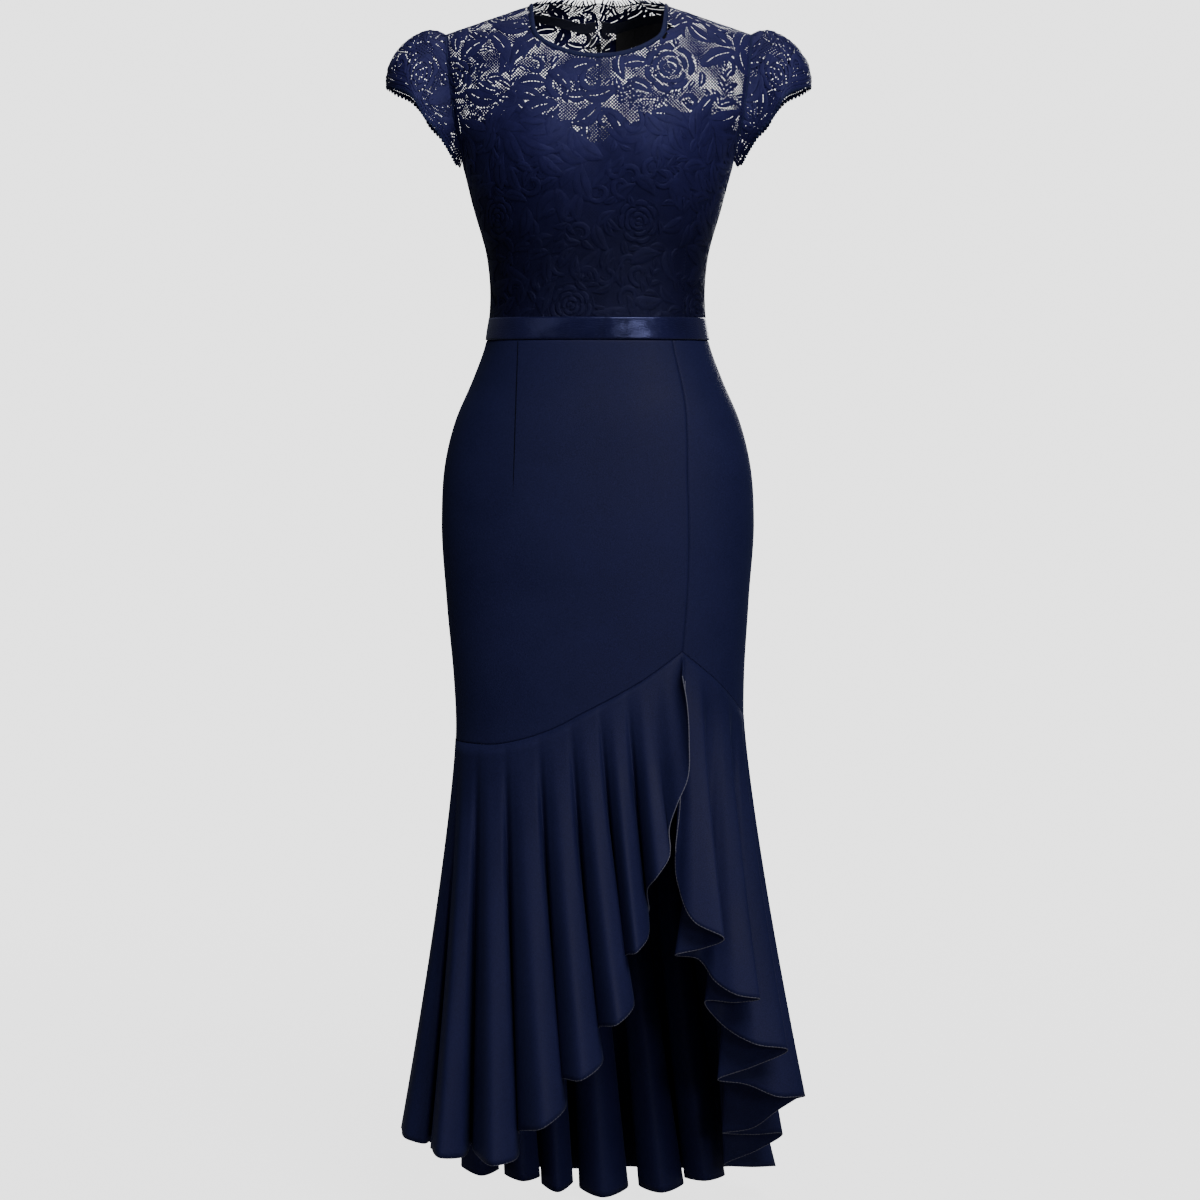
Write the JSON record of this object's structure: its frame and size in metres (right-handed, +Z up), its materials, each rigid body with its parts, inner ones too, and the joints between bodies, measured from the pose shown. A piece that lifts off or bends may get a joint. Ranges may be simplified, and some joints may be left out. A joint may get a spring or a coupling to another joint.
{
  "type": "fishtail dress",
  "caption": "Ankle-length fishtail dress with a sheer lace yoke and cap sleeves, a satin waist ribbon, a fitted skirt and a cascading flounce that dips at the back.",
  "frame": {"origin": "midway between the high points of the shoulders, on the line they hang from", "axes": "+Z up, the front faces -Y, +X to the right as the front is seen"},
  "size_m": [0.5038, 0.3709, 1.4649],
  "materials": {
    "lace": "corded floral lace",
    "crepe": "matt stretch crepe",
    "lining": "smooth stretch lining",
    "satin": "satin",
    "tape": "woven tape",
    "zip_chain": "moulded",
    "zip_metal": "lacquered"
  },
  "bodies": {
    "dress": {"bodice_front_lace": "lace", "bodice_back_lace_left": "lace", "bodice_back_lace_right": "lace", "cap_sleeve_left": "lace", "cap_sleeve_right": "lace", "neck_band_front": "lace", "skirt_front": "crepe", "skirt_front_right": "crepe", "skirt_back_left": "crepe", "skirt_back_right": "crepe", "flounce_front_left": "crepe", "flounce_front_right": "crepe", "flounce_back": "crepe", "lining_front_left": "lining", "lining_front_centre": "lining", "lining_front_right": "lining", "lining_back_left": "lining", "lining_back_right": "lining", "waist_ribbon_front": "satin", "waist_ribbon_back_left": "satin", "waist_ribbon_back_right": "satin", "neck_label": "satin", "neck_tape_back_left": "tape", "neck_tape_back_right": "tape", "zip_tape_left": "tape", "zip_tape_right": "tape", "zip_chain": "zip_chain", "zip_slider": "zip_metal"},
    "zip_pull": {"zip_pull": "zip_metal"}
  },
  "joints": [
    {"name": "zip_pull_swing", "type": "hinge", "parent": "dress", "child": "zip_pull", "pos_m": [0.0015, 0.09114, -0.03077], "axis": [1, 0, 0], "range_deg": [0, 150]}
  ]
}
